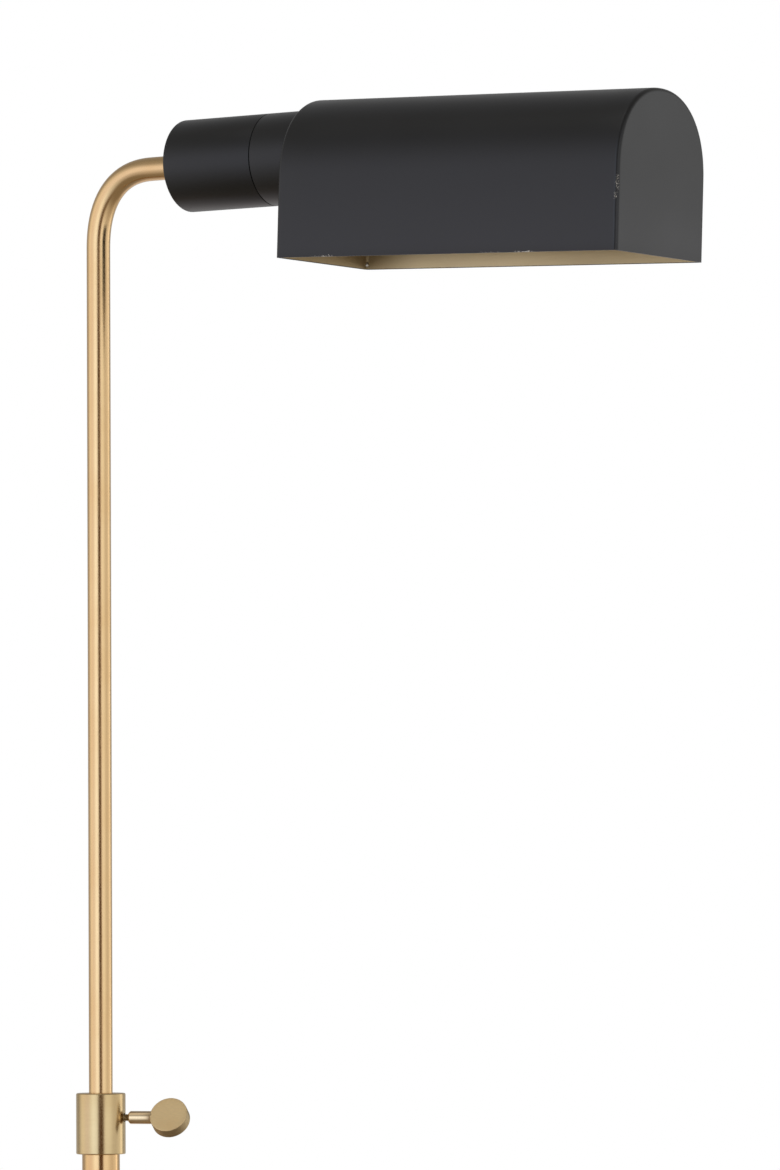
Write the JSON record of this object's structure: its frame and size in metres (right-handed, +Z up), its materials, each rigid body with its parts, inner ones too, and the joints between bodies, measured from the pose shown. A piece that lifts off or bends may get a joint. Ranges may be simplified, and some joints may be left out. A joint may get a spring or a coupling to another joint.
{
  "type": "pharmacy floor lamp",
  "caption": "Floor lamp: weighted disc base, telescopic brass post with thumbscrew collar, bent arm, and a black arched shade that swivels about its neck.",
  "frame": {"origin": "middle of the floor pad's underside, on the post's axis", "axes": "+Z up the post; arm and shade along +X; the shade opens towards -Z; Y is across the shade"},
  "size_m": [0.4632, 0.254, 1.2556],
  "materials": {
    "satin_brass": "satin lacquered brass tube",
    "turned_brass": "turned and brushed brass",
    "satin_black": "fine-grained satin black paint outside, satin gold inside the shade",
    "cast_iron": "as cast, painted black",
    "zinc_steel": "zinc plated",
    "black_felt": "pressed felt",
    "nylon": "natural nylon",
    "black_rubber": "moulded rubber",
    "phenolic": "moulded phenolic",
    "frosted_glass": "frosted tubular lamp glass",
    "nickel": "nickel plated lamp cap",
    "lead_sheath": "brown PVC",
    "tungsten": "drawn wire"
  },
  "bodies": {
    "stand": {"floor_pad": "black_felt", "base_weight": "cast_iron", "base_cover": "satin_brass", "cord_bush": "black_rubber", "base_washer": "zinc_steel", "base_nut": "zinc_steel", "base_nipple": "zinc_steel", "pole_socket": "turned_brass", "tube_coupling": "turned_brass", "outer_tube": "satin_brass", "guide_bush": "nylon", "height_collar": "turned_brass"},
    "glide": {"glide_bush": "nylon"},
    "stem": {"glide_ring_lower": "zinc_steel", "glide_ring_upper": "zinc_steel", "stem_tube": "satin_brass", "lamp_lead": "lead_sheath", "arm_nipple": "zinc_steel", "arm_washer": "zinc_steel", "arm_nut": "zinc_steel", "socket_housing": "satin_black", "swivel_ring": "turned_brass", "stop_pin": "zinc_steel", "lampholder_cap": "phenolic", "lampholder_body": "phenolic", "screw_shell": "turned_brass", "centre_contact": "turned_brass", "terminal_screw_line": "turned_brass", "terminal_screw_neutral": "turned_brass", "lead_core_line": "lead_sheath", "lead_core_neutral": "lead_sheath", "bulb_contact": "nickel", "bulb_insulator": "phenolic", "bulb_cap": "nickel", "bulb_glass": "frosted_glass", "filament_mount": "frosted_glass", "filament": "tungsten"},
    "shade": {"shade_neck": "satin_black", "swivel_nut": "turned_brass", "wave_washer": "zinc_steel", "stop_screw": "zinc_steel", "shade_rear_plate": "satin_black", "shade_arch": "satin_black", "shade_end_plate": "satin_black"},
    "clamp_pad": {"clamp_pad": "nylon"},
    "thumbscrew": {"clamp_screw": "turned_brass", "clamp_paddle": "turned_brass"}
  },
  "joints": [
    {"name": "height_slide", "type": "slide", "parent": "stand", "child": "glide", "axis": [0, 0, 1], "range_m": [-0.4, 0.1]},
    {"name": "stem_turn", "type": "hinge", "parent": "glide", "child": "stem", "pos_m": [0, 0, 0.7655], "axis": [0, 0, 1], "range_deg": [-180, 180]},
    {"name": "shade_swivel", "type": "hinge", "parent": "stem", "child": "shade", "pos_m": [0.1077, 0, 1.2284], "axis": [1, 0, 0], "range_deg": [-170, 170]},
    {"name": "clamp_pad_slide", "type": "slide", "parent": "stand", "child": "clamp_pad", "axis": [0.9505, 0.3107, 0], "range_m": [0, 0.0012]},
    {"name": "clamp_screw_turn", "type": "hinge", "parent": "clamp_pad", "child": "thumbscrew", "pos_m": [0, 0, 0.7533], "axis": [0.9505, 0.3107, 0], "range_deg": [0, 545]}
  ],
  "couplings": [
    {"joint": "clamp_screw_turn", "follows": "clamp_pad_slide", "rad_per_m": 7854}
  ]
}
